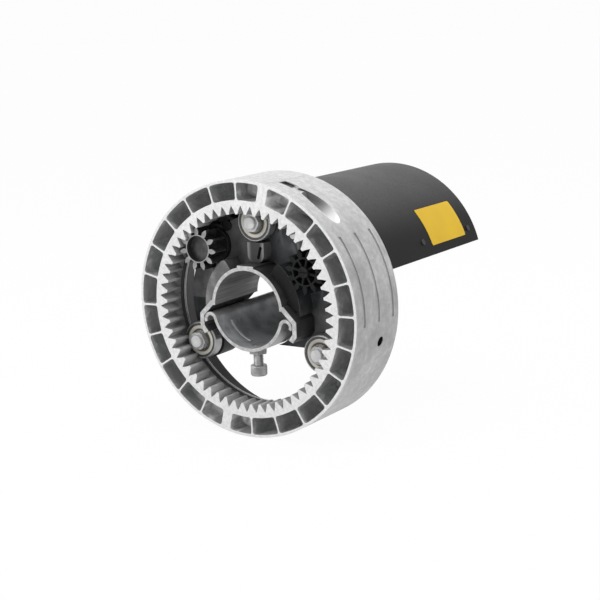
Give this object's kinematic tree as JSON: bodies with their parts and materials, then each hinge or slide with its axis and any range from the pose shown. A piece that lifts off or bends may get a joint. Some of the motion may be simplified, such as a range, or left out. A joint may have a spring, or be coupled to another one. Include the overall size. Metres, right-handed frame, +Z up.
{
  "type": "roller shutter motor",
  "caption": "Central motor for a roller shutter: a toothed split crown runs on bearings around the shaft, with gearbox and motor under a curved cover.",
  "frame": {"origin": "on the axis of the shutter's shaft, halfway along the crown", "axes": "+Y along the shaft from the crown's open front to the motor's rear, +Z up, from the shaft towards the motor cover"},
  "size_m": [0.2, 0.233, 0.2],
  "materials": {
    "crown": "cast, light",
    "saddle": "mill finish",
    "steel": "zinc plated",
    "bright_steel": "zinc plated, bright",
    "bearing_steel": "ground",
    "seal": "beige",
    "gear_steel": "sintered",
    "black_plastic": "moulded",
    "white_plastic": "moulded",
    "brass": "turned",
    "carrier": "dark casting",
    "gearbox": "cast",
    "motor_paint": "black",
    "bracket": "zinc plated",
    "cover": "satin black"
  },
  "bodies": {
    "frame": {"saddle": "saddle", "front_carrier": "carrier", "bearing_inner_rings": "bearing_steel", "bearing_studs": "steel", "bearing_nuts": "steel", "gearbox_housing": "gearbox", "flange_screws": "steel", "motor_can": "motor_paint", "motor_end_cap": "gearbox", "brake_unit": "motor_paint", "capacitor": "white_plastic", "capacitor_strap": "bright_steel", "limit_tray": "black_plastic", "micro_switches": "black_plastic", "tie_rod": "steel", "rod_nuts": "steel", "terminal_block": "white_plastic", "terminal_screws": "brass", "middle_bracket": "bracket", "rear_plate": "bracket", "cover": "cover", "cover_screws": "bright_steel"},
    "crown": {"crown_half_right": "crown", "crown_half_left": "crown", "crown_screws": "steel"},
    "drive_pinion": {"drive_pinion": "gear_steel"},
    "limit_gear": {"limit_gear": "black_plastic", "limit_spindle": "brass", "limit_cams": "white_plastic"},
    "bearing_1": {"bearing_ring_1": "bearing_steel", "bearing_seals_1": "seal"},
    "bearing_2": {"bearing_ring_2": "bearing_steel", "bearing_seals_2": "seal"},
    "bearing_3": {"bearing_ring_3": "bearing_steel", "bearing_seals_3": "seal"},
    "clamp": {"clamp_trough": "bright_steel", "clamp_nut": "bright_steel"},
    "clamp_bolt": {"clamp_bolt": "bright_steel"}
  },
  "joints": [
    {"name": "crown_spin", "type": "hinge", "parent": "frame", "child": "crown", "pos_m": [0, 0, 0], "axis": [0, 1, 0], "continuous": true},
    {"name": "drive_spin", "type": "hinge", "parent": "frame", "child": "drive_pinion", "pos_m": [-0.04365, 0, 0.04442], "axis": [0, 1, 0], "continuous": true},
    {"name": "limit_spin", "type": "hinge", "parent": "frame", "child": "limit_gear", "pos_m": [0.05304, 0, 0.03263], "axis": [0, 1, 0], "continuous": true},
    {"name": "bearing_1_spin", "type": "hinge", "parent": "frame", "child": "bearing_1", "pos_m": [0, 0, 0.0653], "axis": [0, 1, 0], "continuous": true},
    {"name": "bearing_2_spin", "type": "hinge", "parent": "frame", "child": "bearing_2", "pos_m": [0.05655, 0, -0.03265], "axis": [0, 1, 0], "continuous": true},
    {"name": "bearing_3_spin", "type": "hinge", "parent": "frame", "child": "bearing_3", "pos_m": [-0.05655, 0, -0.03265], "axis": [0, 1, 0], "continuous": true},
    {"name": "clamp_slide", "type": "slide", "parent": "frame", "child": "clamp", "axis": [0, -1, 0], "range_m": [0, 0.06]},
    {"name": "clamp_bolt_travel", "type": "slide", "parent": "clamp", "child": "clamp_bolt", "axis": [0, 0, -1], "range_m": [-0.006, 0.005]}
  ],
  "couplings": [
    {"joint": "drive_spin", "follows": "crown_spin", "ratio": 5.2727},
    {"joint": "limit_spin", "follows": "crown_spin", "ratio": 5.2727},
    {"joint": "bearing_1_spin", "follows": "crown_spin", "ratio": 5.3733},
    {"joint": "bearing_2_spin", "follows": "crown_spin", "ratio": 5.3733},
    {"joint": "bearing_3_spin", "follows": "crown_spin", "ratio": 5.3733}
  ]
}
